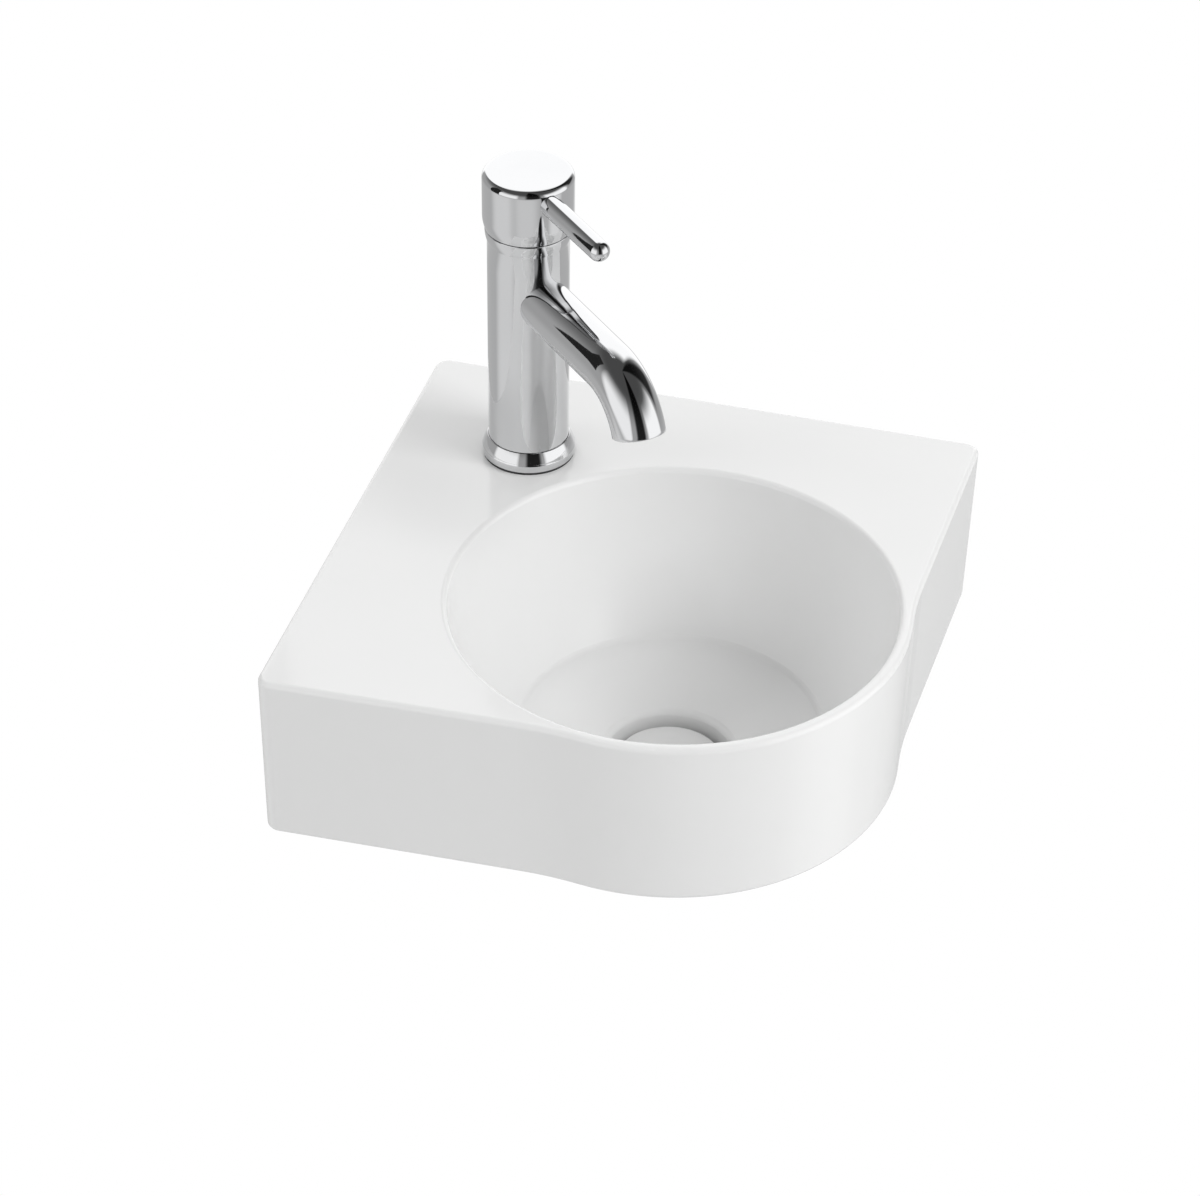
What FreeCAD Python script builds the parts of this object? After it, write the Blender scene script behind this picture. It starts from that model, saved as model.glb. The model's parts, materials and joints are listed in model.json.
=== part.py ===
import FreeCAD, Part
import math
import os

# Corner hand basin with a single-lever pillar mixer and a click waste.
# Frame: origin where the two room walls meet, at deck level. The walls are
# the planes x = 0 and y = 0, the basin fills x > 0, y < 0, and +Z is up.
# The basin is a mirror image about the diagonal x = -y. Millimetres.

Vector = FreeCAD.Vector
ORIGIN = Vector(0, 0, 0)
UP = Vector(0, 0, 1)
SIDEWAYS = Vector(0, 1, 0)

# ceramic basin
wall_length = 320.0            # back corner to each front corner
skirt_height = 102.0
skirt_draft = 2.7              # front faces lean in by this much at the bottom
side_taper = 1.97              # degrees that each front face leans in, in plan
bowl_radius = 121.0
rim_width = 7.0                # ceramic between bowl and front at the rim
front_bulge = 4.6              # round front standing out of the straight faces
front_blend = 190.0            # hollow blend from a straight face to the round front
corner_radius = 8.0
inner_corner = 6.0
shell_wall = 9.0               # skirt and back walls
deck_thickness = 12.0
bowl_wall = 9.0
bottom_round = 3.0
edge_round = 3.1               # top and rim edges
bowl_lean = 8.0                # degrees of the bowl side off upright, at the rim
floor_radius = 84.0
floor_depth = 89.0
foot_round = 6.0
lip_radius = 35.0              # edge of the outlet recess
lip_drop = 14.5                # from the foot of the bowl side down to the lip
lip_round = 4.5
recess_depth = 13.0
recess_draft = 2.0
seat_thickness = 9.0
boss_wall = 9.0
outlet_radius = 23.0

# wall fixing
fixing_before_bowl = 60.0      # hole line, measured back from the bowl axis
fixing_drop = 55.0             # below the deck
fixing_hole_radius = 6.0       # for an M8 bolt in a sleeve

# tap body and base
rim_to_ring = 13.5             # bowl edge to base ring
tap_radius = 22.5
tap_height = 146.0             # body top above the deck
tap_flare = 2.5                # widening, half in the body and half in the lever cap
tap_flare_height = 14.4
seam_chamfer = 0.5             # edges either side of the seam
ring_flare = 3.5
ring_height = 11.0
ring_foot = 4.0
ring_lip = 0.4                 # width of the ring's top edge
ring_hollow = 0.6              # sag of its slope
gasket_thickness = 1.5
gasket_inset = 0.5
hose_recess_radius = 17.0
hose_recess_depth = 22.0
inlet_radius = 4.46            # M10 x 1 tapping
inlet_length = 12.0
inlet_spread = 8.2
inlet_back = 5.0
channel_radius = 4.2
tap_hole_radius = 17.5

# spout and aerator
spout_radius = 14.5
spout_bore = 11.0
spout_drop = 39.5              # body top down to the spout axis
spout_straight = 87.5
spout_bend = 36.0
spout_turn = 70.0              # degrees
spigot_wall = 1.9
spigot_depth = 10.0
aerator_radius = 12.0          # M24 x 1
aerator_length = 8.0
aerator_wall = 1.7
aerator_setback = 0.4
aerator_stop = 1.0
aerator_stop_width = 1.2
aerator_seal_thickness = 1.5
aerator_seal_inset = 1.5       # seal inside the spout's bore
jet_radius = 0.8
jet_pitch = 2.9
insert_thickness = 4.5

# cartridge
cartridge_radius = 14.0
cartridge_wall = 1.3
cartridge_sink = 24.0          # seat below the body top
port_seal_width = 1.5
seal_thickness = 1.2
base_thickness = 5.0
fixed_disc_thickness = 3.2
moving_disc_thickness = 3.55
moving_radius = 8.0
carrier_height = 6.0
guide_flange_thickness = 1.8
guide_radius = 8.2
roof_thickness = 1.9
neck_wall = 1.7
neck_height = 12.0
pivot_rise = 6.5               # tilt axis above the body top
tilt_range = 14.0              # degrees that the lever lifts
stem_back = 3.0                # stem and tilt axis behind the tap axis
lever_arm = 12.5               # tilt axis down to the stem ball
ball_radius = 2.9
stem_neck = 2.0
stem_neck_length = 2.1
stem_radius = 3.0
stem_square = 7.0
stem_square_rise = 3.0         # square starts above the housing's neck
pin_radius = 1.2
port_radius = 2.2
port_back = 4.0
port_spread = 5.2
outlet_port_radius = 2.6
outlet_port_forward = 5.6
bore_past_port = 1.0           # spout bore beyond the outlet port
nut_wall = 2.3
nut_depth = 14.8
nut_lip = 2.0
cover_overlap = 2.0            # cover ring beyond the nut
cover_thickness = 1.2

# lever cap and lever
cap_height = 33.7
cap_gap = 0.3                  # cap edge above the body top
cap_wall = 2.8
cap_roof = 4.0
cap_round = 4.0
boss_radius = 8.0
boss_start = 17.0              # boss underside above the body top
arm_radius = 5.5
stem_top = 28.6                # stem end above the body top
relief_spare = 2.0             # degrees by which the cap's back clears the tilt
lever_below_top = 8.8
lever_root_radius = 6.0
lever_root_sink = 0.6          # the root is hollowed to the cap's curve
lever_tip_radius = 5.8
lever_reach = 82.4             # tap axis to lever tip
lever_spigot = 3.0             # M6
lever_spigot_gap = 1.0         # spigot end to the stem
grub_radius = 2.5              # M5
grub_length = 8.0
grub_key = 2.5                 # across flats
grub_key_depth = 3.0
button_radius = 3.4
button_length = 2.2

# tap clamp
clamp_stud_radius = 4.0        # M8
clamp_stud_forward = 10.0
clamp_stud_depth = 14.0
clamp_stud_gap = 1.0           # stud end to the bottom of its hole
clamp_radius = 24.0
clamp_slot = 13.5              # half width
clamp_slot_start = 4.0
clamp_rubber_thickness = 3.0
clamp_plate_thickness = 2.5
clamp_plate_inset = 1.0        # plate inside the rubber's edge
clamp_nut_flats = 13.0
clamp_nut_height = 12.0
clamp_stud_spare = 8.0

# waste
flange_radius = 31.5
flange_thickness = 2.5
flange_chamfer = 1.0
flange_seal_thickness = 1.0
flange_seal_inset = 1.0
flange_cone = 25.0
flange_cone_drop = 4.0
tail_radius = 20.95            # G 1 1/4 thread
tail_wall = 2.75
tail_length = 73.0
lower_seal_height = 6.0
lower_seal_radius = 31.0
lower_seal_cone = 3.0          # narrower at its foot by this much
slip_washer_thickness = 2.5
slip_washer_inset = 2.0
backnut_flats = 54.0
backnut_height = 10.0
backnut_chamfer = 2.0
backnut_corner = 5.4           # nut's corners beyond its flats
plug_radius = 30.0
plug_edge = 1.6
plug_draft = 1.0               # narrower underneath by this much
plug_dome = 2.6
plug_gap = 1.3                 # plug underside above the flange
plug_seal_inner = 20.0
plug_seal_outer = 24.6
plug_seal_thickness = 1.0
click_radius = 7.5
click_bore = 6.0
click_top = 4.5                # click housing below the flange seat
click_length = 35.0
click_end_wall = 2.0
click_guide_wall = 3.0
plunger_radius = 4.5
piston_radius = 5.8
piston_height = 3.0
piston_sink = 14.0             # piston top below the click housing's top
plunger_socket = 1.6
spring_wire = 0.6
spring_radius = 4.6
spring_turns = 6
spider_wall = 2.0
spider_arm = 3.0
spider_overlap = 1.0           # arms run into the hub and the tail
spider_height = 10.0
spider_drop = 16.0             # spider top below the flange seat

fit = 0.05                     # play between pieces that slide or screw together
ease = 0.1                     # play between pieces that are laid in
overrun = 1.0                  # cutting shapes run this far past a face

# levels and places that follow from the sizes above
taper = math.radians(side_taper)
front_radius = bowl_radius + rim_width
face_to_bowl = front_radius - front_bulge
bowl_to_wall = (wall_length * math.cos(taper) - face_to_bowl) / (math.cos(taper) + math.sin(taper))
ring_radius = tap_radius + ring_flare
tap_to_wall = bowl_to_wall - (bowl_radius + rim_to_ring + ring_radius) / math.sqrt(2.0)
fixing_along = bowl_to_wall - fixing_before_bowl
lip_level = -floor_depth - lip_drop
seat_level = lip_level - recess_depth
seat_radius = lip_radius - recess_draft
boss_level = seat_level - seat_thickness

pivot_level = tap_height + pivot_rise
cartridge_seat = tap_height - cartridge_sink
base_level = cartridge_seat + seal_thickness
fixed_disc_level = base_level + base_thickness
moving_disc_level = fixed_disc_level + fixed_disc_thickness + fit
carrier_level = moving_disc_level + moving_disc_thickness
ball_level = pivot_level - lever_arm
shank_level = ball_level + ball_radius + stem_neck_length
carrier_top = carrier_level + carrier_height
guide_level = carrier_top + 2 * ease
roof_level = guide_level + guide_flange_thickness + ease
shoulder_level = roof_level + roof_thickness
neck_top = shoulder_level + neck_height
neck_radius = guide_radius + fit + neck_wall
guide_top = neck_top + 2 * ease
nut_radius = cartridge_radius + ease + nut_wall
nut_top = shoulder_level + nut_lip
cover_roof = nut_top + ease
tilt = math.radians(tilt_range)

seam_radius = tap_radius + 0.5 * tap_flare
cap_radius = tap_radius + tap_flare
cap_bottom = tap_height + cap_gap
cap_top = cap_bottom + cap_height
lever_level = cap_top - lever_below_top
spout_level = tap_height - spout_drop
turn = math.radians(spout_turn)
outlet_forward = spout_straight + spout_bend * math.sin(turn)
outlet_level = spout_level - spout_bend * (1 - math.cos(turn))

flange_level = seat_level + flange_seal_thickness
flange_top = flange_level + flange_thickness
plug_level = flange_top + plug_gap
click_level = flange_level - click_top
tail_bore = tail_radius - tail_wall


def cylinder(radius, bottom, top, forward=0.0, aside=0.0):
    """An upright cylinder between two levels."""
    return Part.makeCylinder(radius, top - bottom, Vector(forward, aside, bottom))


def ring(outer, inner, bottom, top, forward=0.0, aside=0.0):
    """An upright tube between two levels."""
    tube = cylinder(outer, bottom, top, forward, aside)
    return tube.cut(cylinder(inner, bottom - overrun, top + overrun, forward, aside))


def forward_rod(radius, start, end, level):
    """A level cylinder along local +X."""
    return Part.makeCylinder(radius, end - start, Vector(start, 0, level), Vector(1, 0, 0))


def turned(points):
    """A solid turned about Z from (radius, level) corners."""
    corners = [Vector(radius, 0, level) for radius, level in points]
    face = Part.Face(Part.makePolygon(corners + corners[:1]))
    return face.revolve(ORIGIN, UP, 360)


def hexagon(flats, bottom, top):
    """An upright hexagonal prism."""
    reach = flats / math.sqrt(3.0)
    corners = [Vector(reach * math.cos(math.radians(a)), reach * math.sin(math.radians(a)), bottom)
               for a in range(0, 361, 60)]
    return Part.Face(Part.makePolygon(corners)).extrude(Vector(0, 0, top - bottom))


def is_circle(edge):
    """Whether an edge is part of a circle."""
    return not edge.Degenerated and isinstance(edge.Curve, Part.Circle)


def round_circle(shape, radius, level, size):
    """Round the edges of one circle about Z."""
    edges = [edge for edge in shape.Edges
             if is_circle(edge)
             and abs(edge.Curve.Radius - radius) < 0.01
             and abs(edge.Curve.Center.z - level) < 0.01
             and math.hypot(edge.Curve.Center.x, edge.Curve.Center.y) < 0.01]
    return shape.makeFillet(size, edges)


def at_bowl(shape):
    """Move a piece built about the bowl axis to its place."""
    shape.translate(Vector(bowl_to_wall, -bowl_to_wall, 0))
    return shape


def at_tap(shape):
    """Move a piece built about the tap axis, front along +X, to its place."""
    shape.rotate(ORIGIN, UP, -45)
    shape.translate(Vector(tap_to_wall, -tap_to_wall, 0))
    return shape


def at_outlet(shape):
    """Move a piece built upwards from the spout's end plane to its place."""
    shape.rotate(ORIGIN, SIDEWAYS, spout_turn - 90)
    shape.translate(Vector(outlet_forward, 0, outlet_level))
    return at_tap(shape)


def fixing_holes():
    """One hole through each back wall for a wall bolt."""
    left = forward_rod(fixing_hole_radius, -overrun, shell_wall + overrun, -fixing_drop)
    right = left.copy()
    left.translate(Vector(0, -fixing_along, 0))
    right.rotate(ORIGIN, UP, -90)
    right.translate(Vector(fixing_along, 0, 0))
    return Part.makeCompound([left, right])


def lying(shape):
    """Turn an upright piece so that its +Z runs along +X."""
    shape.rotate(ORIGIN, SIDEWAYS, 90)
    return shape


def arc(centre, radius, first, last):
    """The short arc about a centre between two directions."""
    middle = Vector(first + last)
    middle.normalize()
    return Part.Arc(centre + first * radius, centre + middle * radius, centre + last * radius).toShape()


def mirrored(point):
    """A plan point mirrored about the diagonal."""
    return Vector(-point.y, -point.x, point.z)


def plan_face(inset, back_inset, corner, level):
    """The basin's plan outline, moved in at the front and the back, as a face."""
    along = Vector(math.cos(taper), math.sin(taper), 0)
    outward = Vector(math.sin(taper), -math.cos(taper), 0)
    face_start = Vector(0, -wall_length, 0) - outward * inset
    bowl = Vector(bowl_to_wall, -bowl_to_wall, 0)
    front = front_radius - inset
    blend = front_blend + inset
    gap = face_to_bowl - inset
    run = math.sqrt((front + blend) ** 2 - (gap + blend) ** 2)
    blend_centre = face_start + along * ((bowl - face_start).dot(along) - run) + outward * blend
    to_blend = blend_centre - bowl
    to_blend.normalize()
    slide = (back_inset + corner * (1 + math.sin(taper)) - face_start.x) / math.cos(taper)
    corner_centre = face_start + along * slide - outward * corner
    corner_west = Vector(corner_centre.x - corner, corner_centre.y, 0)
    corner_south = corner_centre + outward * corner
    blend_start = blend_centre - outward * blend
    back_centre = Vector(back_inset + corner, -back_inset - corner, 0)
    west = Vector(-1, 0, 0)
    north = Vector(0, 1, 0)
    back_west = back_centre + west * corner
    edges = [
        arc(back_centre, corner, north, west),
        Part.makeLine(back_west, corner_west),
        arc(corner_centre, corner, west, outward),
        Part.makeLine(corner_south, blend_start),
        arc(blend_centre, blend, outward * -1, to_blend * -1),
        arc(bowl, front, to_blend, mirrored(to_blend)),
        arc(mirrored(blend_centre), blend, mirrored(to_blend) * -1, mirrored(outward) * -1),
        Part.makeLine(mirrored(blend_start), mirrored(corner_south)),
        arc(mirrored(corner_centre), corner, mirrored(outward), mirrored(west)),
        Part.makeLine(mirrored(corner_west), mirrored(back_west)),
    ]
    face = Part.Face(Part.Wire(Part.__sortEdges__(edges)))
    face.translate(Vector(0, 0, level))
    return face


def drafted_block(inset, corner, top, bottom):
    """The plan outline between two levels, with its front faces leaning in."""
    outlines = []
    for level in (top, bottom):
        lean = skirt_draft * -level / skirt_height
        outlines.append(plan_face(inset + lean, inset, corner, level).OuterWire)
    return Part.makeLoft(outlines, True, True)


def with_planes(block):
    """The same block, with each flat side as a true plane."""
    faces = []
    for face in block.Faces:
        plane = face.findPlane()
        faces.append(Part.Face(plane, face.OuterWire) if plane else face)
    skin = Part.Compound(faces)
    skin.sewShape()
    return Part.Solid(skin.Shells[0])


def bowl_side(offset):
    """Top, middle and foot of the bowl's curved side, moved out by offset."""
    top = Vector(bowl_radius, 0, 0)
    foot = Vector(floor_radius, 0, -floor_depth)
    lean = math.radians(bowl_lean)
    inward = Vector(-math.cos(lean), 0, math.sin(lean))
    chord = foot - top
    radius = chord.Length ** 2 / (2 * chord.dot(inward))
    centre = top + inward * radius
    to_top = (top - centre) * (1 / radius)
    to_foot = (foot - centre) * (1 / radius)
    to_middle = to_top + to_foot
    to_middle.normalize()
    return [centre + way * (radius + offset) for way in (to_top, to_middle, to_foot)]


def spun_bowl(side, corners):
    """A solid turned from the axis, out to the side's top, and back in below."""
    top, middle, foot = side
    wire = Part.Wire([Part.makeLine(Vector(0, 0, top.z), top), Part.Arc(top, middle, foot).toShape()]
                     + [Part.makeLine(a, b) for a, b in zip([foot] + corners[:-1], corners)]
                     + [Part.makeLine(corners[-1], Vector(0, 0, top.z))])
    return Part.Face(wire).revolve(ORIGIN, UP, 360)


def bowl_space():
    """What the bowl, its recess and its outlet leave empty."""
    corners = [Vector(lip_radius, 0, lip_level), Vector(seat_radius, 0, seat_level), Vector(0, 0, seat_level)]
    space = spun_bowl(bowl_side(0.0), corners)
    space = round_circle(space, floor_radius, -floor_depth, foot_round)
    space = round_circle(space, lip_radius, lip_level, lip_round)
    return space.fuse(cylinder(outlet_radius, boss_level - overrun, seat_level + overrun))


def bowl_mass():
    """The bowl's outer shape, with the boss round its outlet."""
    floor = Vector(floor_radius - lip_radius, 0, lip_drop)
    down = Vector(floor.z, 0, -floor.x) * (bowl_wall / floor.Length)
    under_foot = Vector(floor_radius, 0, -floor_depth) + down
    under_lip = Vector(lip_radius, 0, lip_level) + down
    corners = [under_foot, under_lip, Vector(0, 0, under_lip.z)]
    mass = spun_bowl(bowl_side(bowl_wall), corners)
    return mass.fuse(cylinder(seat_radius + boss_wall, boss_level, lip_level))


def basin():
    """The one-piece ceramic basin, open underneath."""
    outside = drafted_block(0.0, corner_radius, 0.0, -skirt_height)
    level_edges = {0.0: edge_round, -skirt_height: bottom_round}
    for level, size in level_edges.items():
        edges = [edge for edge in outside.Edges
                 if all(abs(vertex.Z - level) < 0.01 for vertex in edge.Vertexes)]
        outside = outside.makeFillet(size, edges)
    outside = with_planes(outside)
    mass = at_bowl(bowl_mass())
    hollow = with_planes(drafted_block(shell_wall, inner_corner, -deck_thickness, -skirt_height - overrun))
    skirt = outside.cut(hollow.cut(mass))
    slab = Part.makeBox(wall_length, wall_length, skirt_height)
    slab.translate(Vector(0, -wall_length, bowl_wall - 2 * skirt_height))
    body = skirt.fuse(mass.common(slab))
    body = body.cut(at_bowl(bowl_space())).removeSplitter()
    rim = [edge for edge in body.Edges
           if is_circle(edge)
           and abs(edge.Curve.Radius - bowl_radius) < 0.01 and abs(edge.Curve.Center.z) < 0.01]
    body = body.makeFillet(edge_round, rim)
    body = body.cut(at_tap(cylinder(tap_hole_radius, -deck_thickness - overrun, overrun)))
    body = body.cut(fixing_holes())
    return body


def flare_middle():
    """Width and height of half of one flare arc, from its upright end."""
    half_width = 0.5 * tap_flare
    half_height = 0.5 * tap_flare_height
    bend = (half_width ** 2 + half_height ** 2) / (2 * half_width)
    half_turn = 0.5 * math.asin(half_height / bend)
    return bend * (1 - math.cos(half_turn)), bend * math.sin(half_turn)


def tap_profile():
    """The body's outer shape: a tube whose top widens in a hollow arc."""
    part_width, part_height = flare_middle()
    end = tap_height - seam_chamfer
    start = end - 0.5 * tap_flare_height
    low = Vector(tap_radius, 0, start)
    middle = Vector(tap_radius + part_width, 0, start + part_height)
    high = Vector(seam_radius, 0, end)
    edge = Vector(seam_radius - seam_chamfer, 0, tap_height)
    foot = Vector(tap_radius, 0, gasket_thickness)
    foot_middle = Vector(0, 0, gasket_thickness)
    wire = Part.Wire([Part.makeLine(foot_middle, foot),
                      Part.makeLine(foot, low),
                      Part.Arc(low, middle, high).toShape(),
                      Part.makeLine(high, edge),
                      Part.makeLine(edge, Vector(0, 0, tap_height)),
                      Part.makeLine(Vector(0, 0, tap_height), foot_middle)])
    return Part.Face(wire).revolve(ORIGIN, UP, 360)


def tap_body():
    """The mixer's body: inlets and stud hole below, spout hole, cartridge seat above."""
    body = tap_profile()
    recess_top = gasket_thickness + hose_recess_depth
    body = body.cut(cylinder(hose_recess_radius, 0, recess_top))
    channel_top = cartridge_seat - spout_bore
    for side in (-1, 1):
        body = body.cut(cylinder(inlet_radius, recess_top - overrun, recess_top + inlet_length,
                                 -inlet_back, side * inlet_spread))
        body = body.cut(cylinder(channel_radius, recess_top, channel_top, -inlet_back, side * inlet_spread))
        body = body.cut(cylinder(port_radius, channel_top - overrun, cartridge_seat + overrun,
                                 -port_back, side * port_spread))
    body = body.cut(cylinder(outlet_port_radius, spout_level, cartridge_seat + overrun, outlet_port_forward))
    bore_end = outlet_port_forward - outlet_port_radius - bore_past_port
    body = body.cut(forward_rod(spout_bore, bore_end, tap_radius + overrun, spout_level))
    spigot = spout_bore + spigot_wall + ease
    body = body.cut(forward_rod(spigot, tap_radius - spigot_depth, tap_radius + overrun, spout_level))
    body = body.cut(cylinder(cartridge_radius + ease, cartridge_seat, tap_height + overrun))
    body = body.cut(cylinder(nut_radius + fit, tap_height - nut_depth, tap_height + overrun))
    stud_hole = cylinder(clamp_stud_radius + fit, recess_top - overrun, recess_top + clamp_stud_depth,
                         clamp_stud_forward)
    return at_tap(body.cut(stud_hole))


def base_ring():
    """The flared ring round the foot of the body."""
    bore = tap_radius + ease
    foot_top = gasket_thickness + ring_foot
    top = gasket_thickness + ring_height
    lip = bore + ring_lip
    bulge = Vector(bore + 0.5 * ring_flare, 0, 0.5 * (foot_top + top) - ring_hollow)
    inner_foot = Vector(bore, 0, gasket_thickness)
    inner_top = Vector(bore, 0, top)
    outer_foot = Vector(ring_radius, 0, gasket_thickness)
    start = Vector(ring_radius, 0, foot_top)
    end = Vector(lip, 0, top)
    wire = Part.Wire([Part.makeLine(inner_foot, outer_foot),
                      Part.makeLine(outer_foot, start),
                      Part.Arc(start, bulge, end).toShape(),
                      Part.makeLine(end, inner_top),
                      Part.makeLine(inner_top, inner_foot)])
    return at_tap(Part.Face(wire).revolve(ORIGIN, UP, 360))


def base_gasket():
    """The soft ring between tap and ceramic."""
    return at_tap(ring(ring_radius - gasket_inset, hose_recess_radius, 0, gasket_thickness))


def spout():
    """The spout: level tube, round bend, and a spigot in the body."""
    bend_centre = Vector(spout_straight, 0, spout_level - spout_bend)

    def tube(radius, start):
        straight = forward_rod(radius, start, spout_straight, spout_level)
        circle = Part.makeCircle(radius, Vector(spout_straight, 0, spout_level), Vector(1, 0, 0))
        bend = Part.Face(Part.Wire([circle])).revolve(bend_centre, SIDEWAYS, spout_turn)
        return straight.fuse(bend)

    start = tap_radius - spigot_depth
    shell = tube(spout_radius, start).cut(cylinder(tap_radius, 0, tap_height))
    spigot = forward_rod(spout_bore + spigot_wall, start, tap_radius + overrun, spout_level)
    body = shell.fuse(spigot).cut(tube(spout_bore, start - overrun))
    socket_top = aerator_setback + aerator_length + aerator_seal_thickness
    socket = cylinder(aerator_radius + fit, -overrun, socket_top)
    socket.rotate(ORIGIN, SIDEWAYS, spout_turn - 90)
    socket.translate(Vector(outlet_forward, 0, outlet_level))
    return at_tap(body.cut(socket).removeSplitter())


def aerator_housing():
    """The threaded ring that holds the aerator in the spout."""
    bottom = aerator_setback
    inner = aerator_radius - aerator_wall
    top = bottom + aerator_length
    tube = ring(aerator_radius, inner, bottom, top)
    stop = ring(inner + fit, inner - aerator_stop_width, bottom, bottom + aerator_stop)
    return at_outlet(tube.fuse(stop).removeSplitter())


def aerator_insert():
    """The jet grid inside the aerator."""
    bottom = aerator_setback + aerator_stop
    radius = aerator_radius - aerator_wall - ease
    grid = cylinder(radius, bottom, bottom + insert_thickness)
    reach = radius - 3 * jet_radius
    rows = int(reach / jet_pitch)
    jets = []
    for row in range(-rows, rows + 1):
        for column in range(-2 * rows, 2 * rows + 1):
            forward = jet_pitch * (column + 0.5 * (row % 2))
            aside = jet_pitch * row * math.sqrt(3.0) / 2
            if math.hypot(forward, aside) < reach:
                jets.append(cylinder(jet_radius, bottom - overrun, bottom + insert_thickness + overrun,
                                     forward, aside))
    return at_outlet(grid.cut(Part.makeCompound(jets)))


def aerator_seal():
    """The washer behind the aerator."""
    bottom = aerator_setback + aerator_length
    top = bottom + aerator_seal_thickness
    return at_outlet(ring(aerator_radius - fit, spout_bore - aerator_seal_inset, bottom, top))


def ports(bottom, top):
    """The two inlets and the outlet through the cartridge's lower pieces."""
    inlets = [cylinder(port_radius, bottom, top, -port_back, side * port_spread) for side in (-1, 1)]
    return Part.makeCompound(inlets + [cylinder(outlet_port_radius, bottom, top, outlet_port_forward)])


def port_seals():
    """Three rubber rings under the cartridge."""
    def seal(radius, forward, aside):
        return ring(radius + port_seal_width, radius + 2 * ease, cartridge_seat, base_level, forward, aside)
    inlets = [seal(port_radius, -port_back, side * port_spread) for side in (-1, 1)]
    return at_tap(Part.makeCompound(inlets + [seal(outlet_port_radius, outlet_port_forward, 0.0)]))


def cartridge_base():
    """The cartridge's lower plate, with its three ports."""
    plate = cylinder(cartridge_radius - cartridge_wall - ease, base_level, fixed_disc_level)
    return at_tap(plate.cut(ports(base_level - overrun, fixed_disc_level + overrun)))


def fixed_disc():
    """The ceramic disc that stays still."""
    top = fixed_disc_level + fixed_disc_thickness
    disc = cylinder(cartridge_radius - cartridge_wall - ease, fixed_disc_level, top)
    return at_tap(disc.cut(ports(fixed_disc_level - overrun, top + overrun)))


def moving_disc():
    """The ceramic disc that opens and closes the ports, with its mixing pocket."""
    disc = cylinder(moving_radius, moving_disc_level, carrier_level, -stem_back)
    pocket_top = moving_disc_level + 0.6 * moving_disc_thickness
    forward = 0.5 * outlet_port_forward - stem_back
    pocket = cylinder(port_radius, moving_disc_level - overrun, pocket_top, forward)
    return at_tap(disc.cut(pocket))


def disc_carrier():
    """The carrier on the moving disc, with the socket for the stem ball."""
    body = cylinder(moving_radius, carrier_level, carrier_top, -stem_back)
    socket = cylinder(ball_radius + 4 * ease, ball_level - ball_radius - 3 * ease,
                      carrier_top + overrun, -stem_back)
    return at_tap(body.cut(socket))


def cartridge_housing():
    """The cartridge's outer shell with its neck."""
    body = ring(cartridge_radius, cartridge_radius - cartridge_wall, base_level, shoulder_level)
    roof = ring(cartridge_radius, guide_radius + fit, roof_level, shoulder_level)
    neck = ring(neck_radius, guide_radius + fit, roof_level, neck_top)
    return at_tap(body.fuse(roof).fuse(neck).removeSplitter())


def stem_guide():
    """The turning guide that carries the stem."""
    flange_width = cartridge_radius - cartridge_wall - 4 * ease
    flange = cylinder(flange_width, guide_level, guide_level + guide_flange_thickness)
    body = flange.fuse(cylinder(guide_radius, guide_level, guide_top))
    half = stem_radius + 3 * ease
    back = stem_back + stem_radius + (guide_top - pivot_level) * math.sin(tilt) + 2 * ease
    ahead = ball_radius - stem_back + lever_arm * math.sin(tilt) + 2 * ease
    slot = Part.makeBox(ahead + back, 2 * half, guide_top - guide_level + 2 * overrun,
                        Vector(-back, -half, guide_level - overrun))
    return at_tap(body.removeSplitter().cut(slot).cut(cross_rod(pin_radius + fit, guide_radius)))


def cross_rod(radius, half_length):
    """A level cylinder along the tilt axis."""
    start = Vector(-stem_back, -half_length, pivot_level)
    return Part.makeCylinder(radius, 2 * half_length, start, SIDEWAYS)


def stem_pin():
    """The cross pin on which the stem tilts."""
    half_chord = math.sqrt(guide_radius ** 2 - (stem_back + pin_radius) ** 2)
    return at_tap(cross_rod(pin_radius, half_chord - ease))


def cartridge_stem():
    """The stem: ball below, cross hole in the middle, square end above."""
    square_start = neck_top + stem_square_rise
    half = 0.5 * stem_square
    ball = Part.makeSphere(ball_radius, Vector(-stem_back, 0, ball_level))
    neck = cylinder(stem_neck, ball_level, shank_level, -stem_back)
    shank = cylinder(stem_radius, shank_level, square_start, -stem_back)
    square = Part.makeBox(stem_square, stem_square, tap_height + stem_top - square_start,
                          Vector(-stem_back - half, -half, square_start))
    body = ball.fuse(neck).fuse(shank).fuse(square)
    return at_tap(body.cut(cross_rod(pin_radius + fit, 2 * stem_radius)))


def cartridge_nut():
    """The ring nut that holds the cartridge down."""
    wall = ring(nut_radius, cartridge_radius + ease, tap_height - nut_depth + ease, shoulder_level)
    lip = ring(nut_radius, neck_radius + 2 * ease, shoulder_level, nut_top)
    return at_tap(wall.fuse(lip).removeSplitter())


def cover_ring():
    """The bright ring that stands on the body top and covers the nut."""
    outer = nut_radius + cover_overlap
    skirt = ring(outer, nut_radius + ease, tap_height, cover_roof)
    plate = ring(outer, neck_radius + 2 * ease, cover_roof, cover_roof + cover_thickness)
    return at_tap(plate.fuse(skirt).removeSplitter())


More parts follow.
